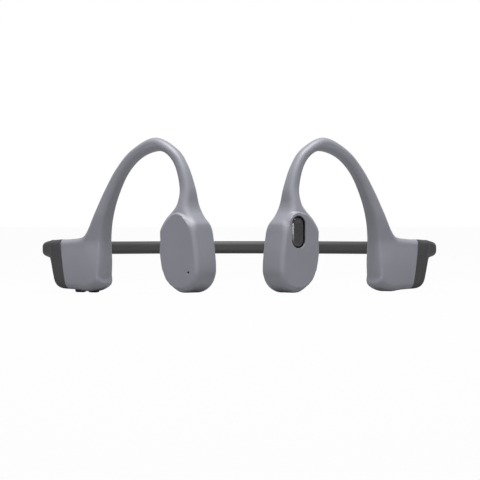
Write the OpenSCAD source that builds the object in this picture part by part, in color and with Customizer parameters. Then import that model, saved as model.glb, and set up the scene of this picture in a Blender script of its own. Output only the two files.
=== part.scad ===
// Bone conduction headphones: two flat side units, each with a housing behind the ear, a hook over
// it and a pod in front of it, joined by a thin springy neckband.
// Frame: +Z up, +X the wearer's left, -Y the wearer's front. The volume buttons stand on z = 0.

/* [Neckband] */
// Half the distance between the band's centre lines at its widest
band_half_width = 58.9; // [57:0.1:60]
// How far behind the origin the band's centre line reaches
band_rear_y = 47; // [46:0.1:48]
// Radius of the rear stretch
rear_radius = 62.4; // [61:0.1:64]
// Radius of the stretch beside the neck
side_radius = 40; // [38:0.5:41]
// Radius of the short bend at the housing
root_radius = 7.3; // [6:0.1:8]
// Height of the sleeve
band_height = 4.0; // [3.6:0.1:4.4]
// Thickness of the sleeve
band_thickness = 2.8; // [2.6:0.1:3]
// Height of the band's centre above the ground
band_z = 13.0; // [12.5:0.1:13.5]
// Angle from the rear centre to the place where the band bends
flex_angle = 38; // [34:1:42]
// Diameter of the springy alloy core
core_d = 1.2; // [0.8:0.1:1.3]
// Diameter of the lead beside the core
lead_d = 0.9; // [0.6:0.1:1]

/* [Side unit] */
// Height of the foot of the pod above the ground; the housing hangs lower by this much
stand_z = 0.5; // [0.3:0.1:0.7]
// Angle between a side unit and the X axis
unit_angle = 38; // [36:0.5:40]
// Distance along the unit from the pod's middle to the band's root
root_p = 52; // [51:0.1:53]
// Thickness of the pod
pod_thickness = 10; // [9.6:0.1:10.4]
// Thickness of the housing
housing_thickness = 8; // [7.8:0.1:8.4]
// Thickness of the hook at its top
hook_thickness = 3.6; // [3.4:0.1:4]

/* [Multifunction button] */
// Height of the button's middle above the foot of the pod
button_z = 17.9; // [17.5:0.1:18]
// Width of the button
button_w = 4.6; // [4:0.1:4.8]
// Length of the button
button_l = 9.1; // [8:0.1:9.3]
// How far the button travels
button_travel = 0.3; // [0.2:0.05:0.3]

/* [Volume buttons] */
// Places of the two buttons along the unit
volume_ps = [41.8, 36.6];
// Length of each button
volume_l = 3.7; // [3.6:0.1:4.6]
// Width of each button
volume_w = 2.4; // [2:0.1:2.6]
// How far each button travels
volume_travel = 0.3; // [0.2:0.05:0.3]

/* [Transducer] */
// Outer diameter of the steel yoke
yoke_d = 10.6; // [9.6:0.1:10.8]
// Diameter of the magnet
magnet_d = 6.2; // [5.6:0.1:6.4]
// Diameter of the speech coil, at the middle of its winding
coil_d = 7.8; // [7.6:0.1:8]

/* [Hidden] */
$fn = 48;
e = 0.01;                      // cuts run this far past a face
clear = 0.05;                  // gap between a fixed piece and its pocket
corner_steps = 4;              // steps round each corner of a skin or sleeve section
ring_steps = 3;                // sections for each station of the skin
wire_sides = 8;                // sides of a core or lead in the hook
far = 20;                      // a length that clears the unit

// Colours
skin_grey = "#85868c";
band_dark = "#47474a";
plastic_dark = "#2e2f31";
button_dark = "#38383a";
wire_metal = "#b9bbc0";
lead_dark = "#1d1d1f";
steel_grey = "#9a9da2";
magnet_grey = "#6f7276";
copper = "#b5713c";
board_green = "#1f5a3c";
cell_silver = "#c9ccd0";
gold = "#d8b25a";

// Band: the rear arc, the side arc and the root arc run into each other without a corner
rear_cy = band_rear_y - rear_radius;
side_cx = band_half_width - side_radius;
side_cy = rear_cy + sqrt(pow(rear_radius - side_radius, 2) - side_cx * side_cx);
join_angle = atan2(side_cy - rear_cy, side_cx);
root_cx = band_half_width - root_radius;
root_x = root_cx + root_radius * sin(unit_angle);
root_y = side_cy - root_radius * cos(unit_angle);
unit_x = root_x - root_p * cos(unit_angle);
unit_y = root_y - root_p * sin(unit_angle);
flex_x = rear_radius * sin(flex_angle);
flex_y = rear_cy + rear_radius * cos(flex_angle);
knuckle_r = band_thickness / 2 - 0.05;     // the side sleeve ends in this upright cylinder
knuckle_gap = 0.08;
sleeve_setback = 1.0;                      // the rear sleeve stops this far short of the knuckle's axis
setback_angle = sleeve_setback / rear_radius * 180 / PI;
wire_end_angle = 1.6;                      // cores and leads stop this many degrees from the flex point
band_corner = 1.1;
core_z = band_z + 0.85;
lead_z = band_z - 1.0;
core_end_p = 43.5;                         // the band's core is held in the housing up to here

// Skin stations: outer edge (p, z), inner edge (p, z), half the thickness, corner radius at the outer
// and at the inner edge. They run from the housing's rear, up the hook, over the ear and down the pod.
housing_h = housing_thickness / 2;
pod_h = pod_thickness / 2;
hook_h = hook_thickness / 2;
skin_stations = [
  [47.3, 15.5, 44.3, 0.5, housing_h, 1.6, 1.8],
  [45.2, 15.5, 41.1, 0.3, housing_h, 1.6, 2.0],
  [42.8, 15.7, 36.3, -0.1, housing_h, 1.6, 2.2],
  [40.8, 15.9, 32.1, 1.5, housing_h, 1.8, 2.4],
  [38.8, 16.6, 32.0, 4.0, housing_h, 2.0, 2.4],
  [37.2, 18.5, 31.8, 7.9, housing_h - 0.1, 2.2, 2.4],
  [35.6, 21.3, 31.8, 14.7, housing_h - 0.4, 2.0, 2.4],
  [33.7, 25.3, 30.6, 21.4, housing_h - 1.0, 1.8, 2.0],
  [31.1, 30.4, 28.0, 28.2, hook_h + 0.6, 1.6, 1.6],
  [26.9, 36.9, 23.7, 35.1, hook_h + 0.15, 1.6, 1.6],
  [21.1, 42.4, 18.2, 39.8, hook_h, 1.6, 1.6],
  [12.5, 45.9, 11.8, 41.8, hook_h, 1.7, 1.7],
  [4.7, 42.5, 7.6, 40.9, hook_h, 1.5, 1.5],
  [0.7, 37.5, 4.2, 37.2, hook_h + 0.1, 1.5, 1.5],
  [-1.6, 31.1, 2.1, 30.9, hook_h + 0.5, 1.5, 1.5],
  [-2.1, 26.3, 2.2, 26.4, pod_h - 1.7, 1.8, 1.8],
  [-3.3, 23.5, 4.6, 23.5, pod_h - 0.8, 3.0, 3.0],
  [-6.0, 21.1, 7.1, 21.1, pod_h - 0.1, 4.2, 4.4],
  [-5.9, 19.7, 7.3, 19.6, pod_h, 2.6, 2.8],
  [-6.2, 17.1, 7.6, 17.2, pod_h, 1.8, 1.8],
  [-7.0, 11.7, 7.0, 11.6, pod_h, 1.8, 1.8],
  [-7.4, 6.8, 6.1, 6.6, pod_h, 1.8, 1.8],
  [-6.3, 2.8, 4.2, 2.6, pod_h, 2.4, 2.4],
  [-4.8, 1.4, 2.4, 1.3, pod_h - 0.1, 2.4, 2.4],
  [-2.7, 0.4, -0.1, 0.4, pod_h - 0.7, 1.3, 1.3],
  [-1.9, 0.0, -0.7, 0.0, pod_h - 1.8, 0.6, 0.6]
];
hook_from = 5.8;                           // stations between which the hook's core runs
hook_to = 17.8;
hook_wire_steps = 26;
core_side = 0.75;                          // offset of the core and the lead from the hook's middle
lead_side = -0.85;

// Boot stations: the dark end of the sleeve closes the housing and narrows to the band's root
boot_stations = [
  [47.3, 15.5, 44.3, 0.5, housing_h, 1.6, 1.8],
  [48.9, 15.4, 47.0, 0.7, housing_h, 1.6, 1.8],
  [50.2, 15.3, 48.7, 1.5, housing_h - 0.1, 1.6, 1.8],
  [51.0, 15.3, 49.6, 3.7, housing_h - 0.3, 1.6, 1.8],
  [51.7, 15.3, 50.8, 6.9, housing_h - 0.8, 1.5, 1.7],
  [52.5, 15.2, 52.3, 9.6, housing_h - 1.6, 1.4, 1.5]
];
boot_steps = 2;                // sections for each station of the boot
root_steps = 5;                // sections along the root arc
side_steps = 6;
rear_steps = 5;
nose_growth = 0.38;            // the sleeve is this much larger where it leaves the boot

// Housing pocket, seen from outside: points that a smooth closed line runs through
pocket_points = [
  [45.8, 13.6], [42.6, 13.9], [40.1, 14.2], [38.1, 15.0], [36.6, 16.6], [35.0, 17.4], [33.5, 16.9],
  [32.9, 13.8], [33.0, 8.2], [33.3, 4.8], [34.3, 2.7], [37.0, 2.15], [40.8, 2.15], [44.0, 3.0]
];
pocket_y = -2.2;                           // bottom of the pocket, towards the outer face
cover_y = 2.2;                             // the cover lies on the tub here
cover_top_y = 3.1;
tub_wall = 0.8;

// Pod pocket
pod_points = [
  [0.6, 21.4], [-2.8, 20.8], [-4.9, 18.6], [-6.0, 15.5], [-6.5, 11.7], [-6.7, 7.2], [-5.8, 4.2],
  [-3.6, 2.5], [-1.2, 2.1], [1.4, 2.6], [3.9, 4.3], [5.5, 7.0], [6.4, 11.6], [6.9, 16.2],
  [5.9, 19.0], [3.6, 20.9]
];
pod_pocket_y = -3.3;
pad_y = 3.0;                               // the pad lies on the cup here
pad_top_y = pod_h - 0.1;                   // contact face
pad_edge = 0.6;
cup_wall = 0.8;

// Transducer: axis along the unit's thickness
drive_p = -0.3;
drive_z = 10.2;
yoke_back_y = -1.2;
yoke_rim_y = 2.0;
yoke_wall = 0.6;
magnet_t = 1.8;
pole_t = 0.5;
coil_t = 0.8;
coil_from_y = -0.1;
plate_y = 2.4;
plate_t = 0.3;
pad_boss_r = 2;

// Multifunction button
button_p = -0.9;
button_face_y = -4.85;
button_stem_r = 0.8;
button_gap = 0.1;
bezel_face_y = -4.7;
bezel_back_y = -3.35;
bezel_wall = 0.5;
bezel_floor = 0.4;
bezel_w = button_w + 2 * (button_gap + bezel_wall);
bezel_l = button_l + 2 * (button_gap + bezel_wall);
stem_hole_r = button_stem_r + 0.15;
dome_r = 1.6;
dome_t = 0.25;
button_board = [4.2, 3.6, 0.6];
button_board_y = yoke_back_y - 0.4 - button_board[2];
// the button's plate and stem stop short of the bezel's floor and of the dome by a little over the travel
button_plate_t = bezel_back_y - bezel_floor - button_travel - clear - button_face_y;
button_stem_end_y = button_board_y - dome_t - button_travel - clear;

// Volume buttons
volume_gap = 0.15;
volume_low_z = -stand_z;
volume_cap_t = 1.1;
volume_stem = [2.4, 1.0, 2.28];
volume_stem_z = volume_low_z + volume_cap_t;
volume_hole_z = volume_stem_z + volume_travel + 2 * clear;
volume_switch_z = volume_stem_z + volume_stem[2] + volume_travel + clear;
volume_switch = [2.3, 2.4, 0.8];
volume_board_t = 0.5;

// Housing contents
cell_size = [8.5, 3.0, 6.7];
cell_at = [34.1, -1.3, 5.0];
cell_board_size = [7.0, 2.2, 0.6];
main_board_size = [8.5, 0.8, 7.6];
main_board_at = [34.1, -1.3, 5.4];
module_size = [5.4, 1.2, 4.6];
chip_size = [1.8, 0.9, 3.0];
contact_ps = [36.4, 40.4];
contact_z = 6.0;
contact_r = 0.8;
light_at = [42.6, 10.2];
light_r = 0.6;
mic_at = [-3.95, 6.0];
mic_hole_r = 0.4;
mic_size = [2.4, 1.0, 1.8];
mesh_r = 1.1;
mesh_t = 0.15;

// ---------- functions ----------

function catmull(p0, p1, p2, p3, t) =
  0.5 * (2 * p1 + (p2 - p0) * t + (2 * p0 - 5 * p1 + 4 * p2 - p3) * t * t
    + (3 * p1 - p0 - 3 * p2 + p3) * t * t * t);

// A station part of the way along a list of stations
function station_at(list, u) =
  let (last = len(list) - 1, i = min(floor(u), last - 1), t = u - i)
  catmull(list[max(i - 1, 0)], list[i], list[i + 1], list[min(i + 2, last)], t);

// Points round a rectangle of half sizes w and t: ra rounds its two corners at +w, rb those at -w
function section(w, t, ra, rb) =
  [for (i = [0 : 3], k = [0 : corner_steps])
    let (
      way = [i == 0 || i == 3 ? 1 : -1, i < 2 ? 1 : -1],
      r = min(way[0] > 0 ? ra : rb, w),
      flat = min(r, t),
      a = 90 * (i + k / corner_steps)
    )
    [way[0] * (w - r) + r * cos(a), way[1] * (t - flat) + flat * sin(a)]];

// Points round a station, in the unit's own axes (p, y, z)
function ring(s) =
  let (
    mid = [(s[0] + s[2]) / 2, (s[1] + s[3]) / 2],
    half = [(s[0] - s[2]) / 2, (s[1] - s[3]) / 2],
    way = half / norm(half)
  )
  [for (v = section(norm(half), s[4], s[5], s[6])) [mid[0] + way[0] * v[0], v[1], mid[1] + way[1] * v[0]]];

// A point of the unit's own axes, in the object's frame
function from_unit(v) = [
  unit_x + v[0] * cos(unit_angle) - v[1] * sin(unit_angle),
  unit_y + v[0] * sin(unit_angle) + v[1] * cos(unit_angle),
  v[2] + stand_z
];

// Places along an arc, each as x, y and heading
function arc_places(cx, cy, r, from, to, steps) =
  [for (k = [1 : steps])
    let (a = from + (to - from) * k / steps)
    [cx + r * cos(a), cy + r * sin(a), a + 90]];

// Places along one side of the band, from the root to a place short of the flex point
function side_places(short = 0) = concat(
  arc_places(root_cx, side_cy, root_radius, unit_angle - 90, 0, root_steps),
  arc_places(side_cx, side_cy, side_radius, 0, join_angle, side_steps),
  arc_places(0, rear_cy, rear_radius, join_angle, 90 - flex_angle - short, rear_steps)
);

// How much larger than the band the nose of the boot is at a heading
function nose(h) = 1 + nose_growth * max(0, 1 - (h - unit_angle) / (90 - unit_angle));

// Points round the sleeve at a place on its path
function sleeve_ring(at) =
  let (n = nose(at[2]))
  [for (v = section(n * band_height / 2, n * band_thickness / 2, n * band_corner, n * band_corner))
    [at[0] - v[1] * sin(at[2]), at[1] + v[1] * cos(at[2]), band_z + v[0]]];

// Points round a core or lead at a place on its path
function band_wire_ring(at, z, r) =
  [for (k = [0 : wire_sides - 1])
    let (a = 360 * k / wire_sides, side = r * sin(a))
    [at[0] - side * sin(at[2]), at[1] + side * cos(at[2]), z + r * cos(a)]];

// Points round a wire that runs beside the middle of the hook
function wire_ring(u, side, r) =
  let (
    s = station_at(skin_stations, u),
    across = [s[0] - s[2], s[1] - s[3]] / norm([s[0] - s[2], s[1] - s[3]]),
    mid = [(s[0] + s[2]) / 2, (s[1] + s[3]) / 2] + across * side
  )
  [for (k = [0 : wire_sides - 1])
    let (a = 360 * k / wire_sides)
    [mid[0] + across[0] * r * cos(a), r * sin(a), mid[1] + across[1] * r * cos(a)]];

function wire_mid(u, side) =
  let (
    s = station_at(skin_stations, u),
    across = [s[0] - s[2], s[1] - s[3]] / norm([s[0] - s[2], s[1] - s[3]])
  )
  [(s[0] + s[2]) / 2 + across[0] * side, 0, (s[1] + s[3]) / 2 + across[1] * side];

// A smooth closed line through points, with steps for each point
function closed_line(pts, steps = 3) =
  let (n = len(pts))
  [for (i = [0 : n - 1], k = [0 : steps - 1])
    catmull(pts[(i + n - 1) % n], pts[i], pts[(i + 1) % n], pts[(i + 2) % n], k / steps)];

// The same line moved inwards by d; the points run anticlockwise
function inset(pts, d) =
  let (n = len(pts))
  [for (i = [0 : n - 1])
    let (t = pts[(i + 1) % n] - pts[(i + n - 1) % n], u = t / norm(t))
    pts[i] + d * [-u[1], u[0]]];

function rounded_rectangle(w, h, r, steps = 4) =
  [for (q = [0 : 3], k = [0 : steps])
    let (a = 90 * (q + k / steps), sx = (q == 0 || q == 3) ? 1 : -1, sz = q < 2 ? 1 : -1)
    [sx * (w / 2 - r) + r * cos(a), sz * (h / 2 - r) + r * sin(a)]];

function pill(w, l, steps = 12) =
  [for (k = [0 : steps]) [w / 2 * cos(180 * k / steps), (l - w) / 2 + w / 2 * sin(180 * k / steps)],
    for (k = [0 : steps]) [-w / 2 * cos(180 * k / steps), -(l - w) / 2 - w / 2 * sin(180 * k / steps)]];

// ---------- helpers ----------

function backwards(list) = [for (i = [len(list) - 1 : -1 : 0]) list[i]];

// Places the unit's own axes: p along the unit, y towards the head, z up from the foot of the pod
module in_unit() {
  translate([unit_x, unit_y, stand_z]) rotate([0, 0, unit_angle]) children();
}

module on_right() {
  mirror([1, 0, 0]) children();
}

// A closed solid through rings of the same number of points
module loft(rings) {
  n = len(rings[0]);
  last = len(rings) - 1;
  polyhedron(
    points = [for (r = rings) each r],
    faces = [
      [for (k = [0 : n - 1]) k],
      for (i = [0 : last - 1], k = [0 : n - 1]) each [
        [i * n + k, (i + 1) * n + k, (i + 1) * n + (k + 1) % n],
        [i * n + k, (i + 1) * n + (k + 1) % n, i * n + (k + 1) % n]
      ],
      [for (k = [n - 1 : -1 : 0]) last * n + k]
    ]
  );
}

// A plate whose outline is drawn in (p, z) and which runs from y0 to y1
module plate(pts, y0, y1) {
  translate([0, y1, 0]) rotate([90, 0, 0]) linear_extrude(y1 - y0) polygon(pts);
}

// A cylinder along the unit's thickness
module across(p, z, r, y0, y1) {
  translate([p, y1, z]) rotate([90, 0, 0]) cylinder(r = r, h = y1 - y0);
}

module arc(cx, cy, r, from, to) {
  translate([cx, cy, 0]) rotate([0, 0, from]) rotate_extrude(angle = to - from) translate([r, 0]) children();
}

module band_section() {
  translate([0, band_z]) polygon(rounded_rectangle(band_thickness, band_height, band_corner));
}

module wire_section(z, r) {
  translate([0, z]) circle(r);
}

// ---------- neckband ----------

module rear_band_sleeve() {
  stop = flex_angle - setback_angle;
  wire_stop = flex_angle - wire_end_angle;
  color(band_dark) difference() {
    arc(0, rear_cy, rear_radius, 90 - stop, 90 + stop) band_section();
    arc(0, rear_cy, rear_radius, 90 - wire_stop, 90 + wire_stop) wire_section(core_z, core_d / 2);
    arc(0, rear_cy, rear_radius, 90 - wire_stop, 90 + wire_stop) wire_section(lead_z, lead_d / 2);
    for (side = [-1, 1]) translate([side * flex_x, flex_y, band_z - band_height])
      cylinder(r = knuckle_r + knuckle_gap, h = 2 * band_height);
  }
}

module rear_wire(z, r) {
  wire_stop = flex_angle - wire_end_angle;
  arc(0, rear_cy, rear_radius, 90 - wire_stop, 90 + wire_stop) wire_section(z, r);
}

module rear_band_core() {
  color(wire_metal) rear_wire(core_z, core_d / 2);
}

module rear_band_lead() {
  color(lead_dark) rear_wire(lead_z, lead_d / 2);
}

// A core or lead of one side, from inside the housing to just short of the flex point
module side_wire(z, r) {
  straight = [for (p = [core_end_p, root_p]) [from_unit([p, 0, 0])[0], from_unit([p, 0, 0])[1], unit_angle]];
  places = concat(straight, side_places(wire_end_angle));
  loft(backwards([for (at = places) band_wire_ring(at, z, r)]));
}

// The sleeve starts as the boot that closes the housing and ends in an upright knuckle
module band_sleeve() {
  boot = [for (i = [0 : (len(boot_stations) - 1) * boot_steps])
    [for (v = ring(station_at(boot_stations, i / boot_steps))) from_unit(v)]];
  places = side_places();
  color(band_dark) {
    difference() {
      loft(backwards(concat(boot, [for (i = [1 : len(places) - 1]) sleeve_ring(places[i])])));
      side_wire(core_z, core_d / 2 + clear);
      side_wire(lead_z, lead_d / 2 + clear);
    }
    translate([flex_x, flex_y, band_z - band_height / 2]) cylinder(r = knuckle_r, h = band_height);
  }
}

module band_core() {
  color(wire_metal) side_wire(core_z, core_d / 2);
}

module band_lead() {
  color(lead_dark) side_wire(lead_z, lead_d / 2);
}

// ---------- skin ----------

module hook_wire(side, r) {
  in_unit() loft([for (i = [0 : hook_wire_steps])
    wire_ring(hook_from + (hook_to - hook_from) * i / hook_wire_steps, side, r)]);
}

// A channel a little wider than the wire in it
module hook_channel(side, r) {
  for (i = [0 : hook_wire_steps - 1]) hull() for (k = [i, i + 1])
    translate(wire_mid(hook_from + (hook_to - hook_from) * k / hook_wire_steps, side))
      sphere(r = r, $fn = 10);
}

// The soft grey skin, from the housing over the hook to the pod, with its pockets
module skin_body() {
  last = (len(skin_stations) - 1) * ring_steps;
  difference() {
    loft([for (i = [0 : last]) ring(station_at(skin_stations, i / ring_steps))]);
    plate(inset(closed_line(pocket_points), -clear), pocket_y - clear, far);
    plate(inset(closed_line(pod_points), -clear), pod_pocket_y - clear, far);
    hook_channel(core_side, core_d / 2 + 2 * clear);
    hook_channel(lead_side, lead_d / 2 + 2 * clear);
    for (w = [[core_z, core_d], [lead_z, lead_d]]) translate([core_end_p, 0, w[0] - stand_z])
      rotate([0, 90, 0]) cylinder(r = w[1] / 2 + 2 * clear, h = root_p - core_end_p, $fn = 12);
  }
}

module left_skin() {
  color(skin_grey) in_unit() difference() {
    skin_body();
    translate([button_p, 0, button_z])
      plate(pill(bezel_w + 2 * clear, bezel_l + 2 * clear), -far, pod_pocket_y);
  }
}

module right_skin() {
  color(skin_grey) on_right() in_unit() difference() {
    skin_body();
    across(mic_at[0], mic_at[1], mic_hole_r, -far, pod_pocket_y, $fn = 12);
    for (p = volume_ps) {
      volume_hole(p, volume_gap, -far, volume_hole_z);
      stem_hole(p, 0, volume_switch_z);
    }
  }
}

module hook_core() {
  color(wire_metal) hook_wire(core_side, core_d / 2);
}

module hook_lead() {
  color(lead_dark) hook_wire(lead_side, lead_d / 2);
}

// ---------- housing ----------

pocket_line = closed_line(pocket_points);

// A notch in a wall, turned about the place where a wire passes
module notch(p, z, turn, length, width) {
  translate([p, far / 2 - core_d, z]) rotate([0, turn, 0]) cube([length, far, width], center = true);
}

module tub_body() {
  difference() {
    plate(pocket_line, pocket_y, cover_y);
    plate(inset(pocket_line, tub_wall), pocket_y + tub_wall, far);
    // the hook's core and lead come in at the top, the band's at the rear
    notch(33.4, 17.4, -70, 4, 4.2);
    notch(44.9, (core_z + lead_z) / 2 - stand_z, 0, 4, 4.2);
  }
}

module housing_tub() {
  color(plastic_dark) in_unit() tub_body();
}

module right_housing_tub() {
  color(plastic_dark) on_right() in_unit() difference() {
    tub_body();
    for (p = volume_ps) stem_hole(p, 0, volume_switch_z);
  }
}

module cover_body() {
  plate(pocket_line, cover_y, cover_top_y);
}

module housing_cover() {
  color(skin_grey) in_unit() cover_body();
}

module right_housing_cover() {
  color(skin_grey) on_right() in_unit() difference() {
    cover_body();
    for (p = contact_ps) across(p, contact_z, contact_r + clear, cover_y - e, cover_top_y + e);
    across(light_at[0], light_at[1], light_r + clear, cover_y - e, cover_top_y + e);
  }
}

module charging_contacts() {
  color(gold) on_right() in_unit() for (p = contact_ps) {
    across(p, contact_z, contact_r, cover_y - 0.6, cover_top_y + 0.1);
    across(p, contact_z, contact_r + 0.4, cover_y - 0.6, cover_y - clear);
  }
}

module status_light_pipe() {
  color("white") on_right() in_unit() {
    across(light_at[0], light_at[1], light_r, cover_y - 0.8, cover_top_y);
    across(light_at[0], light_at[1], light_r + 0.3, cover_y - 0.8, cover_y - clear);
  }
}

module battery_cell() {
  color(cell_silver) in_unit() translate(cell_at) cube(cell_size);
}

module battery_board() {
  color(board_green) in_unit()
    translate([cell_at[0] + 0.7, cell_at[1] + 0.4, cell_at[2] + cell_size[2] + clear]) cube(cell_board_size);
}

module main_board() {
  color(board_green) on_right() in_unit() translate(main_board_at) cube(main_board_size);
}

module radio_module() {
  top_y = main_board_at[1] + main_board_size[1];
  color(steel_grey) on_right() in_unit() {
    translate([main_board_at[0] + 0.6, top_y, main_board_at[2] + 2]) cube(module_size);
    translate([main_board_at[0] + 6.3, top_y, main_board_at[2] + 2.4]) cube(chip_size);
  }
}

// ---------- volume buttons ----------

// An upright hole of a volume button's outline
module volume_hole(p, gap, z0, z1) {
  translate([p, 0, z0]) linear_extrude(z1 - z0)
    polygon(rounded_rectangle(volume_l + 2 * gap, volume_w + 2 * gap, volume_w / 2));
}

module stem_hole(p, z0, z1) {
  gap = 2 * volume_gap;
  translate([p - (volume_stem[0] + gap) / 2, -(volume_stem[1] + gap) / 2, z0])
    cube([volume_stem[0] + gap, volume_stem[1] + gap, z1 - z0]);
}

module volume_button(p) {
  color(button_dark) on_right() in_unit() {
    volume_hole(p, 0, volume_low_z, volume_stem_z);
    translate([p - volume_stem[0] / 2, -volume_stem[1] / 2, volume_stem_z]) cube(volume_stem);
  }
}

module volume_up_button() {
  volume_button(volume_ps[0]);
}

module volume_down_button() {
  volume_button(volume_ps[1]);
}

module volume_switch_board() {
  top_z = volume_switch_z + volume_switch[2];
  from_y = -volume_switch[1] / 2;
  length = volume_ps[0] - volume_ps[1] + volume_switch[0];
  color(board_green) on_right() in_unit() {
    translate([volume_ps[1] - volume_switch[0] / 2, from_y, top_z])
      cube([length, volume_switch[1], volume_board_t]);
    for (p = volume_ps) translate([p - volume_switch[0] / 2, from_y, volume_switch_z]) cube(volume_switch);
  }
}

// ---------- pod ----------

pod_line = closed_line(pod_points);

module cup_body() {
  difference() {
    plate(pod_line, pod_pocket_y, pad_y);
    plate(inset(pod_line, cup_wall), pod_pocket_y + cup_wall, far);
    notch(0.5, 21, 0, 4.4, 3);
  }
}

module left_pod_cup() {
  color(plastic_dark) in_unit() difference() {
    cup_body();
    across(button_p, button_z, stem_hole_r, pod_pocket_y - e, pod_pocket_y + 2 * cup_wall);
  }
}

module right_pod_cup() {
  color(plastic_dark) on_right() in_unit() difference() {
    cup_body();
    across(mic_at[0], mic_at[1], mic_hole_r, pod_pocket_y - e, pod_pocket_y + 2 * cup_wall);
  }
}

// The pad's face rests on the cheekbone; its edge steps in and its boss carries the spring plate
module pod_pad() {
  color(skin_grey) in_unit() {
    plate(pod_line, pad_y, pad_top_y - pad_edge);
    plate(inset(pod_line, pad_edge / 2), pad_top_y - pad_edge, pad_top_y - pad_edge / 2);
    plate(inset(pod_line, pad_edge), pad_top_y - pad_edge / 2, pad_top_y);
    across(drive_p, drive_z, pad_boss_r, plate_y + plate_t, pad_y);
  }
}

module spring_plate() {
  slots = 3;
  slot_r = coil_d / 2 - 1.2;
  color(steel_grey) in_unit() difference() {
    across(drive_p, drive_z, yoke_d / 2 + 0.2, plate_y, plate_y + plate_t);
    for (k = [0 : slots - 1]) translate([drive_p, 0, drive_z]) rotate([0, 360 * k / slots, 0])
      translate([slot_r, plate_y + plate_t / 2, 0]) cube([0.7, 1, 3.2], center = true);
  }
}

module yoke() {
  color(steel_grey) in_unit() difference() {
    across(drive_p, drive_z, yoke_d / 2, yoke_back_y, yoke_rim_y);
    across(drive_p, drive_z, yoke_d / 2 - yoke_wall, yoke_back_y + yoke_wall, far);
  }
}

module magnet() {
  from_y = yoke_back_y + yoke_wall;
  color(magnet_grey) in_unit() across(drive_p, drive_z, magnet_d / 2, from_y, from_y + magnet_t);
}

module pole_plate() {
  from_y = yoke_back_y + yoke_wall + magnet_t;
  color(steel_grey) in_unit() across(drive_p, drive_z, magnet_d / 2, from_y, from_y + pole_t);
}

module speech_coil() {
  color(copper) in_unit() difference() {
    across(drive_p, drive_z, (coil_d + coil_t) / 2, coil_from_y, plate_y);
    across(drive_p, drive_z, (coil_d - coil_t) / 2, coil_from_y - e, plate_y + e);
  }
}

// ---------- multifunction button ----------

module button_bezel() {
  color(plastic_dark) in_unit() translate([button_p, 0, button_z]) difference() {
    plate(pill(bezel_w, bezel_l), bezel_face_y, bezel_back_y);
    plate(pill(button_w + 2 * button_gap, button_l + 2 * button_gap), -far, bezel_back_y - bezel_floor);
    across(0, 0, stem_hole_r, -far, far);
  }
}

module multifunction_button() {
  color(button_dark) in_unit() translate([button_p, 0, button_z]) {
    plate(pill(button_w, button_l), button_face_y, button_face_y + button_plate_t);
    across(0, 0, button_stem_r, button_face_y + button_plate_t, button_stem_end_y);
  }
}

module button_switch_board() {
  color(board_green) in_unit() {
    translate([button_p - button_board[0] / 2, button_board_y, button_z + dome_r - button_board[1]])
      cube([button_board[0], button_board[2], button_board[1]]);
    across(button_p, button_z, dome_r, button_board_y - dome_t, button_board_y);
  }
}

// ---------- microphone ----------

module microphone_mesh() {
  inner_y = pod_pocket_y + cup_wall;
  color(steel_grey) on_right() in_unit() across(mic_at[0], mic_at[1], mesh_r, inner_y, inner_y + mesh_t);
}

module microphone_capsule() {
  from_y = pod_pocket_y + cup_wall + mesh_t;
  color(gold) on_right() in_unit()
    translate([mic_at[0] - mic_size[0] / 2, from_y, mic_at[1] - mic_size[2] / 2]) cube(mic_size);
}

// ---------- nodes ----------

rear_band_sleeve();
rear_band_core();
rear_band_lead();
band_sleeve();  // left_band_sleeve
band_core();  // left_band_core
band_lead();  // left_band_lead
left_skin();
hook_core();  // left_hook_core
hook_lead();  // left_hook_lead
housing_tub();  // left_housing_tub
housing_cover();  // left_housing_cover
left_pod_cup();
pod_pad();  // left_pod_pad
spring_plate();  // left_spring_plate
yoke();  // left_yoke
magnet();  // left_magnet
pole_plate();  // left_pole_plate
speech_coil();  // left_speech_coil
battery_cell();
battery_board();
button_bezel();
multifunction_button();
button_switch_board();
on_right() band_sleeve();  // right_band_sleeve
on_right() band_core();  // right_band_core
on_right() band_lead();  // right_band_lead
right_skin();
on_right() hook_core();  // right_hook_core
on_right() hook_lead();  // right_hook_lead
right_housing_tub();
right_housing_cover();
right_pod_cup();
on_right() pod_pad();  // right_pod_pad
on_right() spring_plate();  // right_spring_plate
on_right() yoke();  // right_yoke
on_right() magnet();  // right_magnet
on_right() pole_plate();  // right_pole_plate
on_right() speech_coil();  // right_speech_coil
main_board();
radio_module();
volume_up_button();
volume_down_button();
volume_switch_board();
charging_contacts();
status_light_pipe();
microphone_capsule();
microphone_mesh();
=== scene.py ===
"""Bone conduction headphones: the looks of every piece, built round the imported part."""

import logging
import math
from collections.abc import Callable, Sequence
from dataclasses import dataclass
from enum import Enum

import bmesh
import bpy
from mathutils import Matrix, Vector


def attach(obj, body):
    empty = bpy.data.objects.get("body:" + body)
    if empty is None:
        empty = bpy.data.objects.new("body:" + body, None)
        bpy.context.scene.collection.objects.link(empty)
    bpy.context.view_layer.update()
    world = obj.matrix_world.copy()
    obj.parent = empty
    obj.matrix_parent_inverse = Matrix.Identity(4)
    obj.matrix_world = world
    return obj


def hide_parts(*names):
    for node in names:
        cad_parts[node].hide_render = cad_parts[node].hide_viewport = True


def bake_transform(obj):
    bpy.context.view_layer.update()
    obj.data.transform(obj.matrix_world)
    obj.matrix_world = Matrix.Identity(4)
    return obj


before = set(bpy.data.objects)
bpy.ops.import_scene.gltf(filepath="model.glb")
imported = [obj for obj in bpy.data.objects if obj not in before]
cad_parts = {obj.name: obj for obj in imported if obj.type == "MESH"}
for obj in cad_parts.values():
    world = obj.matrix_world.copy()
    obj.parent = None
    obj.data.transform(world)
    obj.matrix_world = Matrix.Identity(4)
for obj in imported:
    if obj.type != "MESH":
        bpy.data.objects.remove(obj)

LOG = logging.getLogger("headphones")
MM = 0.001
CREASE = math.radians(32)

Flat = tuple[float, float]


# ---------- finishes ----------


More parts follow.
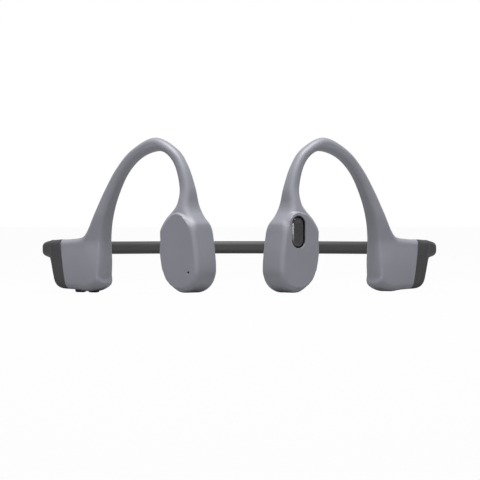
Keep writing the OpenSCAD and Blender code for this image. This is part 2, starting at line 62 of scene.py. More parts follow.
def linear(hex_colour: str) -> tuple[float, float, float, float]:
    """Turns an sRGB hex colour to the linear values a shader takes.

    Args:
        hex_colour: six hex digits after a hash.

    Returns:
        Red, green, blue and an alpha of 1.
    """
    parts = [int(hex_colour[i : i + 2], 16) / 255 for i in (1, 3, 5)]
    made = [c / 12.92 if c <= 0.04045 else ((c + 0.055) / 1.055) ** 2.4 for c in parts]
    return (made[0], made[1], made[2], 1.0)


def add_node(
    tree: bpy.types.NodeTree,
    kind: str,
    settings: dict[str, object] | None = None,
    values: dict[str, object] | None = None,
    links: dict[str, bpy.types.NodeSocket] | None = None,
) -> bpy.types.Node:
    """Adds a node to a material.

    Args:
        tree: the material's node tree.
        kind: the node's type name.
        settings: the node's own properties.
        values: default values of its inputs, by input name.
        links: what each of its inputs is linked from.

    Returns:
        The new node.
    """
    made = tree.nodes.new(kind)
    for name, value in (settings or {}).items():
        setattr(made, name, value)
    for name, value in (values or {}).items():
        made.inputs[name].default_value = value
    for name, source in (links or {}).items():
        tree.links.new(source, made.inputs[name])
    return made


@dataclass(frozen=True)
class Finish:
    """A surface with a fine grain: its colour drifts a little and the grain breaks up its gloss."""

    name: str
    colour: str
    shade: str
    roughness: float
    grain_mm: float
    grain_depth_mm: float
    drift_mm: float = 9.0
    metallic: float = 0.0
    roughness_spread: float = 0.06
    coat: float = 0.0
    coat_roughness: float = 0.1
    sheen: float = 0.0
    specular: float = 0.5

    def material(self) -> bpy.types.Material:
        """Makes the material, or finds it where it was made before.

        Returns:
            The material.
        """
        found = bpy.data.materials.get(self.name)
        if found is not None:
            return found
        made = bpy.data.materials.new(self.name)
        made.use_nodes = True
        tree = made.node_tree
        tree.nodes.clear()
        place = add_node(tree, "ShaderNodeTexCoord").outputs["Object"]
        shader = add_node(
            tree,
            "ShaderNodeBsdfPrincipled",
            values={
                "Metallic": self.metallic,
                "Coat Weight": self.coat,
                "Coat Roughness": self.coat_roughness,
                "Sheen Weight": self.sheen,
                "Sheen Roughness": 0.45,
                "Specular IOR Level": self.specular,
            },
        )
        self.dress(tree, place, shader)
        add_node(tree, "ShaderNodeOutputMaterial", links={"Surface": shader.outputs["BSDF"]})
        return made

    def dress(self, tree: bpy.types.NodeTree, place: bpy.types.NodeSocket, shader: bpy.types.Node) -> None:
        """Links the colour, gloss and relief of the surface.

        Args:
            tree: the material's node tree.
            place: object coordinates, in metres.
            shader: the surface's shader.
        """
        drift = self.noise(tree, place, self.drift_mm, 3.0)
        self.tint(tree, drift, shader)
        grain = self.noise(tree, place, self.grain_mm, 2.0)
        self.gloss(tree, grain, shader)
        self.relief(tree, grain, shader)

    def noise(
        self, tree: bpy.types.NodeTree, place: bpy.types.NodeSocket, spacing_mm: float, detail: float
    ) -> bpy.types.NodeSocket:
        """Adds noise whose spots lie a real distance apart.

        Args:
            tree: the material's node tree.
            place: object coordinates, in metres.
            spacing_mm: distance between spots.
            detail: octaves of finer noise.

        Returns:
            The noise, from 0 to 1.
        """
        values = {"Scale": 1000 / spacing_mm, "Detail": detail, "Roughness": 0.55}
        return add_node(tree, "ShaderNodeTexNoise", values=values, links={"Vector": place}).outputs["Fac"]

    def tint(self, tree: bpy.types.NodeTree, share: bpy.types.NodeSocket, shader: bpy.types.Node) -> None:
        """Lets the colour drift between the finish's two colours.

        Args:
            tree: the material's node tree.
            share: how much of the second colour there is.
            shader: the surface's shader.
        """
        ramp = add_node(tree, "ShaderNodeValToRGB", links={"Fac": share})
        ramp.color_ramp.elements[0].position = 0.3
        ramp.color_ramp.elements[0].color = linear(self.colour)
        ramp.color_ramp.elements[1].position = 0.7
        ramp.color_ramp.elements[1].color = linear(self.shade)
        tree.links.new(ramp.outputs["Color"], shader.inputs["Base Color"])

    def gloss(self, tree: bpy.types.NodeTree, share: bpy.types.NodeSocket, shader: bpy.types.Node) -> None:
        """Spreads the roughness round its typical value.

        Args:
            tree: the material's node tree.
            share: the pattern that the roughness follows.
            shader: the surface's shader.
        """
        values = {
            "From Min": 0.3,
            "From Max": 0.7,
            "To Min": self.roughness - self.roughness_spread,
            "To Max": self.roughness + self.roughness_spread,
        }
        spread = add_node(tree, "ShaderNodeMapRange", values=values, links={"Value": share})
        tree.links.new(spread.outputs["Result"], shader.inputs["Roughness"])

    def relief(self, tree: bpy.types.NodeTree, height: bpy.types.NodeSocket, shader: bpy.types.Node) -> None:
        """Raises the surface a little where the pattern is high.

        Args:
            tree: the material's node tree.
            height: the pattern, from 0 to 1.
            shader: the surface's shader.
        """
        values = {"Strength": 1.0, "Distance": self.grain_depth_mm * MM}
        bump = add_node(tree, "ShaderNodeBump", values=values, links={"Height": height})
        tree.links.new(bump.outputs["Normal"], shader.inputs["Normal"])


@dataclass(frozen=True)
class Wound(Finish):
    """A surface of fine turns that lie side by side along an axis, such as wire on a coil or brush lines."""

    axis_turn: float = 0.0
    pitch_mm: float = 0.3

    def dress(self, tree: bpy.types.NodeTree, place: bpy.types.NodeSocket, shader: bpy.types.Node) -> None:
        """Links the colour, gloss and relief of the turns.

        Args:
            tree: the material's node tree.
            place: object coordinates, in metres.
            shader: the surface's shader.
        """
        turned = add_node(
            tree,
            "ShaderNodeMapping",
            values={"Rotation": (0.0, 0.0, math.radians(self.axis_turn))},
            links={"Vector": place},
        )
        turns = add_node(
            tree,
            "ShaderNodeTexWave",
            settings={"wave_type": "BANDS", "bands_direction": "Y", "wave_profile": "SIN"},
            values={"Scale": 1000 / self.pitch_mm / 20, "Distortion": 0.4, "Detail": 1.0},
            links={"Vector": turned.outputs["Vector"]},
        ).outputs["Fac"]
        self.tint(tree, turns, shader)
        self.gloss(tree, self.noise(tree, place, self.grain_mm, 2.0), shader)
        self.relief(tree, turns, shader)


@dataclass(frozen=True)
class Printed(Finish):
    """A circuit board: solder mask over a web of tracks."""

    track: str = "#2f7a52"
    track_mm: float = 0.8

    def dress(self, tree: bpy.types.NodeTree, place: bpy.types.NodeSocket, shader: bpy.types.Node) -> None:
        """Links the colour, gloss and relief of the board.

        Args:
            tree: the material's node tree.
            place: object coordinates, in metres.
            shader: the surface's shader.
        """
        web = add_node(
            tree,
            "ShaderNodeTexVoronoi",
            settings={"feature": "DISTANCE_TO_EDGE", "distance": "EUCLIDEAN"},
            values={"Scale": 1000 / self.track_mm},
            links={"Vector": place},
        ).outputs["Distance"]
        ramp = add_node(tree, "ShaderNodeValToRGB", links={"Fac": web})
        ramp.color_ramp.interpolation = "CONSTANT"
        ramp.color_ramp.elements[0].color = linear(self.track)
        ramp.color_ramp.elements[1].position = 0.12
        ramp.color_ramp.elements[1].color = linear(self.colour)
        tree.links.new(ramp.outputs["Color"], shader.inputs["Base Color"])
        self.gloss(tree, self.noise(tree, place, self.grain_mm, 2.0), shader)
        self.relief(tree, web, shader)


class Finishes(Enum):
    """Every finish on the headphones."""

    # Soft-touch liquid silicone, moulded over the frame: matt, with a faint velvet edge and a fine grain
    SKIN = Finish("grey_silicone_soft_touch", "#7b7c84", "#7f8088", 0.46, 0.22, 0.0015, sheen=0.12)
    # The same silicone pigmented charcoal on the band and boots, a little rougher than the skin
    BAND = Finish("charcoal_silicone_sleeve", "#404041", "#444445", 0.52, 0.22, 0.002, specular=0.25)
    # Moulded polycarbonate with a spark-eroded grain, on the covers and the pads
    COVER = Finish("grained_polycarbonate", "#515156", "#58585d", 0.44, 0.16, 0.010)
    # Plain moulded ABS of the tubs and cups, slightly shiny
    TUB = Finish("moulded_abs_black", "#2a2b2d", "#323336", 0.4, 0.3, 0.006)
    # Dark ABS ring round the button, fine satin
    BEZEL = Finish("satin_abs_ring", "#1d1d1f", "#232325", 0.42, 0.2, 0.004)
    # Lacquered ABS, nearly polished: it mirrors the lights softly on its bevel
    BUTTON_GLOSS = Finish("lacquered_abs_button", "#303032", "#343436", 0.26, 0.6, 0.002, coat=0.8)
    # Firm silicone of the volume buttons, satin
    BUTTON_SATIN = Finish("firm_silicone_button", "#262628", "#2c2c2e", 0.45, 0.2, 0.004)
    # Nickel titanium wire: grey oxide sheen with faint drawing marks
    SPRING_ALLOY = Finish("nickel_titanium_wire", "#a9a9ad", "#8e8f96", 0.32, 0.1, 0.004, metallic=1.0)
    # PVC jacket of the leads
    LEAD = Finish("pvc_lead_jacket", "#19191b", "#202023", 0.4, 0.3, 0.004)
    # Stainless sheet, rolled
    SPRING_STEEL = Finish("rolled_stainless_sheet", "#a8a9ab", "#b4b5b7", 0.28, 0.12, 0.003, metallic=1.0)
    # Zinc plated low-carbon steel
    YOKE_STEEL = Finish("zinc_plated_steel", "#8f9296", "#a2a5a8", 0.34, 0.5, 0.004, metallic=1.0)
    # Nickel plating on sintered magnet
    MAGNET = Finish("nickel_plated_magnet", "#b3aea6", "#bcb8b0", 0.18, 0.4, 0.002, metallic=1.0)
    # Enamelled copper, wound: fine turns drawn a little coarse so that they show
    COIL = Wound("enamelled_copper_winding", "#b4653a", "#8a4524", 0.3, 0.2, 0.03, metallic=1.0,
                 axis_turn=-38.0, pitch_mm=0.25)
    # Aluminium laminate of the pouch cell, crinkled
    CELL = Finish("aluminium_laminate_foil", "#bfc2c6", "#a9adb2", 0.3, 0.9, 0.05, metallic=1.0)
    # Glass-epoxy board with green solder mask
    BOARD = Printed("green_solder_mask_board", "#1a4f36", "#1a4f36", 0.35, 0.3, 0.02)
    # Tinned shield can
    SHIELD = Finish("tinned_steel_shield", "#b5b6b8", "#a6a8ab", 0.3, 0.25, 0.003, metallic=1.0)
    # Gold plated contacts
    CONTACT = Finish("gold_plated_contact", "#d9b15c", "#cfa44c", 0.2, 0.3, 0.002, metallic=1.0)
    # Frosted polycarbonate light pipe
    LIGHT = Finish("frosted_light_pipe", "#dfe2e4", "#d4d8db", 0.35, 0.2, 0.003)
    # Woven acoustic mesh
    MESH = Finish("acoustic_mesh", "#2c2c2e", "#4a4a4d", 0.5, 0.12, 0.03)


# ---------- shapes ----------


def rounded(half_width: float, half_depth: float, near: float, far: float, steps: int, face: int) -> list[Flat]:
    """Points round a rectangle whose four corners are rounded.

    Args:
        half_width: half its width.
        half_depth: half its depth.
        near: corner radius at the plus end of the width.
        far: corner radius at the minus end.
        steps: steps round each corner.
        face: steps along each long face, between the corners.

    Returns:
        Points (across, depth), from the plus end's inner corner round by the inner face.
    """
    made: list[Flat] = []
    for i in range(4):
        way = (1 if i in (0, 3) else -1, 1 if i < 2 else -1)
        r = min(near if way[0] > 0 else far, half_width)
        flat = min(r, half_depth)
        for k in range(steps + 1):
            a = math.radians(90 * (i + k / steps))
            made.append((way[0] * (half_width - r) + r * math.cos(a),
                         way[1] * (half_depth - flat) + flat * math.sin(a)))
    corners = steps + 1
    full: list[Flat] = []
    for i in range(4):
        full += made[i * corners : (i + 1) * corners]
        start, end = made[(i + 1) * corners - 1], made[(i + 1) * corners % len(made)]
        parts = face if i % 2 == 0 else max(2, face // 4)
        full += [
            (start[0] + (end[0] - start[0]) * k / parts, start[1] + (end[1] - start[1]) * k / parts)
            for k in range(1, parts)
        ]
    return full


def smooth_between(rows: Sequence[Sequence[float]], u: float) -> list[float]:
    """A row part of the way along a list of rows, on a smooth curve through them.

    Args:
        rows: rows of numbers of one length.
        u: the place, where 1.5 is midway from the second row to the third.

    Returns:
        The row at that place.
    """
    last = len(rows) - 1
    i = min(int(u), last - 1)
    t = u - i
    quad = (rows[max(i - 1, 0)], rows[i], rows[i + 1], rows[min(i + 2, last)])
    return [
        0.5 * (2 * b + (c - a) * t + (2 * a - 5 * b + 4 * c - d) * t * t + (3 * b - a - 3 * c + d) * t**3)
        for a, b, c, d in zip(*quad)
    ]


def closed_line(points: Sequence[Flat], steps: int) -> list[Flat]:
    """A smooth closed line through points.

    Args:
        points: the points, in order.
        steps: steps from each point to the next.

    Returns:
        The points of the line.
    """
    n = len(points)
    rows = [points[(i - 1) % n] for i in range(n + 3)]
    made = [smooth_between(rows, 1 + i / steps) for i in range(n * steps)]
    return [(m[0], m[1]) for m in made]


def inset(points: Sequence[Flat], by: float) -> list[Flat]:
    """Moves a closed line inwards, or outwards where by is negative.

    Args:
        points: the line's points, anticlockwise or clockwise.
        by: how far.

    Returns:
        The moved points.
    """
    n = len(points)
    area = sum(points[i][0] * points[(i + 1) % n][1] - points[(i + 1) % n][0] * points[i][1] for i in range(n))
    turn = 1 if area > 0 else -1
    made = []
    for i in range(n):
        along = Vector(points[(i + 1) % n]) - Vector(points[i - 1])
        along.normalize()
        made.append((points[i][0] - turn * by * along.y, points[i][1] + turn * by * along.x))
    return made


def pill(width: float, length: float, steps: int) -> list[Flat]:
    """An upright pill's outline.

    Args:
        width: its width.
        length: its height.
        steps: steps round each end.

    Returns:
        The outline's points.
    """
    r = width / 2
    straight = length / 2 - r
    top = [(r * math.cos(math.pi * k / steps), straight + r * math.sin(math.pi * k / steps))
           for k in range(steps + 1)]
    return top + [(-x, -z) for x, z in top]


class Shape:
    """A mesh being built, in millimetres, on its way to be one piece."""

    def __init__(self) -> None:
        """Starts with nothing."""
        self.mesh = bmesh.new()

    def ring(self, points: Sequence[Vector]) -> list[bmesh.types.BMEdge]:
        """Makes a closed ring from a circle whose vertices are moved to points.

        Args:
            points: where the ring's vertices go.

        Returns:
            The ring's edges.
        """
        verts = bmesh.ops.create_circle(self.mesh, cap_ends=False, segments=len(points), radius=1.0)["verts"]
        for vert, point in zip(verts, points):
            vert.co = point
        return list({edge for vert in verts for edge in vert.link_edges})

    def bridge(self, first: list[bmesh.types.BMEdge], second: list[bmesh.types.BMEdge]) -> None:
        """Joins two rings with a band of faces."""
        bmesh.ops.bridge_loops(self.mesh, edges=first + second)

    def cap(self, edges: list[bmesh.types.BMEdge]) -> list[bmesh.types.BMFace]:
        """Closes a ring with a face and returns it in a list."""
        return bmesh.ops.contextual_create(self.mesh, geom=edges)["faces"]

    def loft(self, rings: Sequence[Sequence[Vector]]) -> "Shape":
        """Makes a closed body through rings.

        Args:
            rings: rings of one number of points, in order.

        Returns:
            The shape itself.
        """
        edges = [self.ring(points) for points in rings]
        for first, second in zip(edges, edges[1:]):
            self.bridge(first, second)
        self.cap(edges[0])
        self.cap(edges[-1])
        return self

    def tidy(self) -> None:
        """Turns every face outwards and shades it smooth."""
        bmesh.ops.remove_doubles(self.mesh, verts=self.mesh.verts, dist=1e-5)
        bmesh.ops.recalc_face_normals(self.mesh, faces=self.mesh.faces)
        for face in self.mesh.faces:
            face.smooth = True

    def mirror(self) -> "Shape":
        """Moves the shape to the other side of the head and returns it."""
        bmesh.ops.scale(self.mesh, vec=(-1.0, 1.0, 1.0), verts=self.mesh.verts)
        return self

    def piece(self, name: str, finish: Finishes | None = None) -> bpy.types.Object:
        """Makes the mesh an object, in metres, and ends the shape.

        Args:
            name: the piece's name.
            finish: what its surface is made of.

        Returns:
            The object.
        """
        self.tidy()
        bmesh.ops.scale(self.mesh, vec=(MM, MM, MM), verts=self.mesh.verts)
        data = bpy.data.meshes.new(name)
        self.mesh.to_mesh(data)
        self.mesh.free()
        data.set_sharp_from_angle(angle=CREASE)
        made = bpy.data.objects.new(name, data)
        bpy.context.scene.collection.objects.link(made)
        if finish is not None:
            made.data.materials.append(finish.value.material())
        return made


def carve(target: bpy.types.Object, cutters: Sequence[bpy.types.Object]) -> None:
    """Cuts pieces out of another and removes them.

    Args:
        target: the piece that is cut.
        cutters: closed meshes that take their room out of it.
    """
    for cutter in cutters:
        cut = target.modifiers.new("cut", "BOOLEAN")
        cut.operation = "DIFFERENCE"
        cut.solver = "EXACT"
        cut.object = cutter
        cutter.hide_render = True
    graph = bpy.context.evaluated_depsgraph_get()
    made = bpy.data.meshes.new_from_object(target.evaluated_get(graph))
    target.modifiers.clear()
    old = target.data
    target.data = made
    target.data.name = target.name
    bpy.data.meshes.remove(old)
    for cutter in cutters:
        bpy.data.objects.remove(cutter)
    for polygon in made.polygons:
        polygon.use_smooth = True
    made.set_sharp_from_angle(angle=CREASE)


# ---------- places ----------


class Side(Enum):
    """The wearer's two sides. Everything is drawn for the left one and mirrored for the right."""

    LEFT = "left"
    RIGHT = "right"

    @property
    def body(self) -> str:
        """The body that this side's unit rides on."""
        return f"{self.value}_side"

    def settle(self, shape: Shape) -> Shape:
        """Mirrors a shape drawn for the left side if this is the right one."""
        return shape if self is Side.LEFT else shape.mirror()

    def world(self, point: Vector) -> Vector:
        """A point drawn for the left side, in millimetres, as one of this side in metres."""
        return Vector((point.x if self is Side.LEFT else -point.x, point.y, point.z)) * MM


@dataclass(frozen=True)
class Place:
    """A place on the band's centre line, with the direction it runs in, in degrees."""

    x: float
    y: float
    heading: float


@dataclass(frozen=True)
class BandPath:
    """The band's centre line on the left side: a root arc, a side arc and a rear arc without a corner."""

    half_width: float = 58.9
    rear_y: float = 47.0
    rear_radius: float = 62.4
    side_radius: float = 40.0
    root_radius: float = 7.3
    height_z: float = 13.0
    stand_z: float = 0.5
    splay: float = 38.0
    root_p: float = 52.0
    step_mm: float = 0.9

    @property
    def side_centre(self) -> Flat:
        """Centre of the side arc."""
        x = self.half_width - self.side_radius
        return x, self.rear_y - self.rear_radius + math.sqrt((self.rear_radius - self.side_radius) ** 2 - x * x)

    def arc(self, centre: Flat, radius: float, start: float, end: float) -> list[Place]:
        """Places along an arc, past its start.

        Args:
            centre: the arc's centre.
            radius: its radius.
            start: the angle it starts at, in degrees.
            end: the angle it ends at.

        Returns:
            The places, about a step apart.
        """
        steps = math.ceil(math.radians(end - start) * radius / self.step_mm)
        angles = [start + (end - start) * k / steps for k in range(1, steps + 1)]
        return [
            Place(centre[0] + radius * math.cos(math.radians(a)), centre[1] + radius * math.sin(math.radians(a)),
                  a + 90)
            for a in angles
        ]

    def places(self) -> list[Place]:
        """Places from the root to the middle of the back."""
        side = self.side_centre
        rear = (0.0, self.rear_y - self.rear_radius)
        join = math.degrees(math.atan2(side[1] - rear[1], side[0]))
        root = (self.half_width - self.root_radius, side[1])
        return (
            self.arc(root, self.root_radius, self.splay - 90, 0.0)
            + self.arc(side, self.side_radius, 0.0, join)
            + self.arc(rear, self.rear_radius, join, 90.0)
        )

    @property
    def unit_origin(self) -> Flat:
        """Where the unit's own axes start: its length axis passes through the root."""
        a = math.radians(self.splay)
        x = self.half_width - self.root_radius + self.root_radius * math.sin(a)
        y = self.side_centre[1] - self.root_radius * math.cos(a)
        return x - self.root_p * math.cos(a), y - self.root_p * math.sin(a)

    def unit(self, p: float, y: float, z: float) -> Vector:
        """A point of the unit's own axes.

        Args:
            p: along the unit, from the pod to the boot.
            y: towards the head.
            z: up from the foot of the pod.

        Returns:
            The point in the object's frame, in millimetres.
        """
        a = math.radians(self.splay)
        x0, y0 = self.unit_origin
        return Vector((x0 + p * math.cos(a) - y * math.sin(a), y0 + p * math.sin(a) + y * math.cos(a), z + self.stand_z))


PATH = BandPath()


def plate(outline: Sequence[Flat], low: float, high: float, lips: Sequence[Flat] = ()) -> Shape:
    """A plate across the unit, from one depth to another.

    Args:
        outline: its outline, as (p, z).
        low: depth of its outer face.
        high: depth of its inner face.
        lips: further rings past the inner face, each as (inset, depth).

    Returns:
        The shape.
    """
    levels = [(0.0, low), (0.0, high), *lips]
    return Shape().loft([[PATH.unit(p, y, z) for p, z in inset(outline, by)] for by, y in levels])


def round_lip(radius: float, depth: float, way: int, steps: int = 5) -> list[Flat]:
    """Insets and depths that round the edge of a plate.

    Args:
        radius: the edge's radius.
        depth: depth of the plate's face.
        way: 1 where the face looks to the head, -1 where it looks out.
        steps: steps round the edge.

    Returns:
        Each ring as (inset, depth).
    """
    angles = [math.pi / 2 * k / steps for k in range(steps + 1)]
    return [(radius * (1 - math.cos(a)), depth - way * radius * (1 - math.sin(a))) for a in angles]


# ---------- skin ----------


@dataclass
class Skin:
    """The grey skin of one side: housing, hook and pod in one moulding."""

    side: Side
    housing: float = 4.0
    hook: float = 1.8
    pod: float = 5.0
    corner_steps: int = 8
    face_steps: int = 24
    rings_each: int = 9
    face_centre: Flat = (0.55, 12.0)
    face_reach: Flat = (6.5, 11.6)
    face_foot: float = 10.8
    pocket_y: float = -2.2
    pod_pocket_y: float = -3.3
    dome_centre: Flat = (38.5, 4.5)
    dome_reach: Flat = (6.5, 10.5)
    dome_depth: float = 0.9
    clear: float = 0.05
    past: float = 9.0

    def stations(self) -> list[tuple[float, ...]]:
        """Sections from the housing's rear over the ear and down the pod.

        Returns:
            For each: upper edge (p, z), lower or inner edge (p, z), half depth, and the two corner radii.
        """
        housing, hook, pod = self.housing, self.hook, self.pod
        return [
            (47.3, 15.5, 44.3, 0.5, housing, 1.6, 1.8),
            (45.2, 15.5, 41.1, 0.3, housing, 1.6, 2.0),
            (42.8, 15.7, 36.3, -0.1, housing, 1.6, 2.2),
            (40.8, 15.9, 32.1, 1.5, housing, 1.8, 2.4),
            (38.8, 16.6, 32.0, 4.0, housing, 2.0, 2.4),
            (37.2, 18.5, 31.8, 7.9, housing - 0.1, 2.2, 2.4),
            (35.6, 21.3, 31.8, 14.7, housing - 0.4, 2.0, 2.4),
            (33.7, 25.3, 30.6, 21.4, housing - 1.0, 1.8, 2.0),
            (31.1, 30.4, 28.0, 28.2, hook + 0.6, 1.6, 1.6),
            (26.9, 36.9, 23.7, 35.1, hook + 0.15, 1.6, 1.6),
            (21.1, 42.4, 18.2, 39.8, hook, 1.6, 1.6),
            (12.5, 45.9, 11.8, 41.8, hook, 1.7, 1.7),
            (4.7, 42.5, 7.6, 40.9, hook, 1.5, 1.5),
            (0.7, 37.5, 4.2, 37.2, hook + 0.1, 1.5, 1.5),
            (-1.6, 31.1, 2.1, 30.9, hook + 0.6, 1.5, 1.5),
            (-2.1, 26.5, 2.1, 26.6, pod - 1.5, 1.8, 1.8),
            (-2.8, 24.2, 3.6, 24.2, pod - 0.85, 2.2, 2.4),
            (-4.3, 22.1, 5.9, 22.1, pod - 0.45, 3.0, 3.0),
            (-5.5, 20.5, 7.0, 20.4, pod - 0.2, 2.6, 2.8),
            (-5.9, 19.1, 7.4, 19.0, pod, 2.0, 2.2),
            (-6.2, 17.1, 7.6, 17.2, pod, 1.5, 1.8),
            (-7.0, 11.7, 7.0, 11.6, pod, 1.5, 1.8),
            (-7.4, 6.8, 6.1, 6.6, pod, 1.6, 1.8),
            (-7.0, 4.4, 5.2, 4.3, pod, 1.8, 2.0),
            (-6.2, 2.7, 4.1, 2.6, pod, 2.0, 2.2),
            (-5.1, 1.5, 2.8, 1.5, pod - 0.15, 2.0, 2.2),
            (-3.9, 0.7, 1.5, 0.7, pod - 0.5, 1.8, 1.8),
            (-2.7, 0.2, 0.4, 0.2, pod - 1.0, 1.3, 1.3),
            (-1.9, 0.0, -0.6, 0.0, pod - 1.8, 0.6, 0.6),
        ]

    def section(self, station: Sequence[float]) -> list[Vector]:
        """Points round one section.

        Args:
            station: a row as stations() gives it.

        Returns:
            The points, in millimetres.
        """
        p1, z1, p2, z2, half, near, far = station
        middle = Vector(((p1 + p2) / 2, (z1 + z2) / 2))
        across = Vector((p1 - p2, z1 - z2)) / 2
        way = across.normalized()
        ring = rounded(across.length, half, near, far, self.corner_steps, self.face_steps)
        flat = [(middle + way * u, y) for u, y in ring]
        return [PATH.unit(at.x, self.pressed(at.x, at.y, self.domed(at.x, at.y, y)), at.y) for at, y in flat]

    def domed(self, p: float, z: float, y: float) -> float:
        """Depth of a point once the housing's outer face is domed a little, most towards its inner edge.

        Args:
            p: the point's place along the unit.
            z: its height.
            y: its depth in the plain section.

        Returns:
            Its depth.
        """
        if p < 20.0 or y > 0.0:
            return y
        rise = min(1.0, abs(z - self.dome_centre[1]) / self.dome_reach[1]) ** 2
        turn = min(1.0, max(0.0, (self.dome_centre[0] - p) / self.dome_reach[0])) ** 2
        fade = min(max((24.0 - z) / 12.0, 0.0), 1.0)
        return y + self.dome_depth * (rise + turn) * fade * fade * (3 - 2 * fade) * min(1.0, -y / 2.0)

    def pressed(self, p: float, z: float, y: float) -> float:
        """Depth of a point once the pod's flat outer face is pressed into the form.

        The face ends at its top in an arch, where the neck comes out from behind it, and its foot follows
        the pod's own curve.

        Args:
            p: the point's place along the unit.
            z: its height.
            y: its depth in the plain section.

        Returns:
            Its depth.
        """
        if y > -(self.pod - 1.9) or p > 20.0:
            return y
        up = z - self.face_centre[1]
        lean = 0.1 * min(up, 0.0)
        u = abs(p - self.face_centre[0] - lean) / self.face_reach[0]
        v = abs(up) / (self.face_reach[1] if up > 0 else self.face_foot)
        power = 2.0 if up > 0 else 2.5
        inside = (1 - (u**power + v**power) ** (1 / power)) * self.face_reach[1]
        if self.side is Side.LEFT:
            inside = max(inside, MultifunctionButton().margin(p, z))
        share = min(max(inside / 0.45, 0.0), 1.0)
        return y + (-self.pod - y) * share * share * (3 - 2 * share)

    def build(self) -> bpy.types.Object:
        """Builds the skin with its pockets, holes and slots.

        Returns:
            The piece.
        """
        rows = self.stations()
        count = (len(rows) - 1) * self.rings_each
        shape = Shape().loft([self.section(smooth_between(rows, i / self.rings_each)) for i in range(count + 1)])
        made = self.side.settle(shape).piece(f"{self.side.value}_grey_skin")
        carve(made, self.cutters())
        made.data.materials.append(Finishes.SKIN.value.material())
        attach(made, self.side.body)
        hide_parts(f"{self.side.value}_skin")
        return made

    def cutters(self) -> list[bpy.types.Object]:
        """Closed shapes of everything that is cut out of the skin."""
        shapes = [
            plate(inset(Housing.line(), -self.clear), self.pocket_y - self.clear, self.past),
            plate(inset(Pod.line(), -self.clear), self.pod_pocket_y - self.clear, self.past),
        ]
        if self.side is Side.LEFT:
            shapes.append(MultifunctionButton().pocket(self.clear, self.pod_pocket_y))
        else:
            shapes.append(Microphone().hole(self.pod_pocket_y))
            shapes += [button.slot_cutter() for button in VolumeButton.both()]
        return [self.side.settle(s).piece(f"cut_{i}") for i, s in enumerate(shapes)]


# ---------- housing and pod ----------


@dataclass
class Housing:
    """The cover on the inner side of a housing."""

    side: Side
    cover_y: float = 2.2
    cover_top_y: float = 3.1
    edge: float = 0.3

    @staticmethod
    def line() -> list[Flat]:
        """The housing pocket's outline, as (p, z)."""
        points = [
            (45.8, 13.6), (42.6, 13.9), (40.1, 14.2), (38.1, 15.0), (36.6, 16.6), (35.0, 17.4), (33.5, 16.9),
            (32.9, 13.8), (33.0, 8.2), (33.3, 4.8), (34.3, 2.7), (37.0, 2.15), (40.8, 2.15), (44.0, 3.0),
        ]
        return closed_line(points, 8)

    def build(self) -> bpy.types.Object:
        """Builds the cover: a plate with a rounded edge.

        Returns:
            The piece.
        """
        lips = round_lip(self.edge, self.cover_top_y, 1)
        shape = plate(self.line(), self.cover_y, self.cover_top_y - self.edge, lips[1:])
        made = self.side.settle(shape).piece(f"{self.side.value}_inner_cover")
        if self.side is Side.RIGHT:
            carve(made, [self.side.settle(s).piece(f"cut_{i}") for i, s in enumerate(self.holes())])
        made.data.materials.append(Finishes.COVER.value.material())
        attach(made, self.side.body)
        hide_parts(f"{self.side.value}_housing_cover")
        return made

    def holes(self) -> list[Shape]:
        """Round holes for the charging contacts and the light pipe."""
        places = [(36.4, 6.0, 0.85), (40.4, 6.0, 0.85), (42.6, 10.2, 0.65)]
        return [plate(disc(p, z, r), self.cover_y - 1.0, self.cover_top_y + 1.0) for p, z, r in places]


def disc(p: float, z: float, radius: float, steps: int = 32) -> list[Flat]:
    """A circle's outline.

    Args:
        p: its centre along the unit.
        z: its centre's height.
        radius: its radius.
        steps: steps round it.

    Returns:
        The outline's points.
    """
    turns = [math.tau * k / steps for k in range(steps)]
    return [(p + radius * math.cos(a), z + radius * math.sin(a)) for a in turns]


@dataclass
class Pod:
    """The pad of a pod, which rests on the cheekbone."""

    side: Side
    pad_y: float = 3.0
    pad_top_y: float = 4.9
    edge: float = 0.6

    @staticmethod
    def line() -> list[Flat]:
        """The pod pocket's outline, as (p, z)."""
        points = [
            (0.6, 21.4), (-2.8, 20.8), (-4.9, 18.6), (-6.0, 15.5), (-6.5, 11.7), (-6.7, 7.2), (-5.8, 4.2),
            (-3.6, 2.5), (-1.2, 2.1), (1.4, 2.6), (3.9, 4.3), (5.5, 7.0), (6.4, 11.6), (6.9, 16.2),
            (5.9, 19.0), (3.6, 20.9),
        ]
        return closed_line(points, 8)

    def build(self) -> bpy.types.Object:
        """Builds the pad: a plate with a soft edge and a fine line where its soft face begins.

        Returns:
            The piece.
        """
        line_in, depth = 1.7, 0.15
        lips = round_lip(self.edge, self.pad_top_y, 1)
        lips += [
            (line_in, self.pad_top_y),
            (line_in + 0.1, self.pad_top_y - depth),
            (line_in + 0.3, self.pad_top_y - depth),
            (line_in + 0.4, self.pad_top_y),
        ]
        shape = plate(self.line(), self.pad_y, self.pad_top_y - self.edge, lips[1:])
        made = self.side.settle(shape).piece(f"{self.side.value}_cheek_pad", Finishes.COVER)
        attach(made, self.side.body)
        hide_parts(f"{self.side.value}_pod_pad")
        return made


# ---------- band ----------


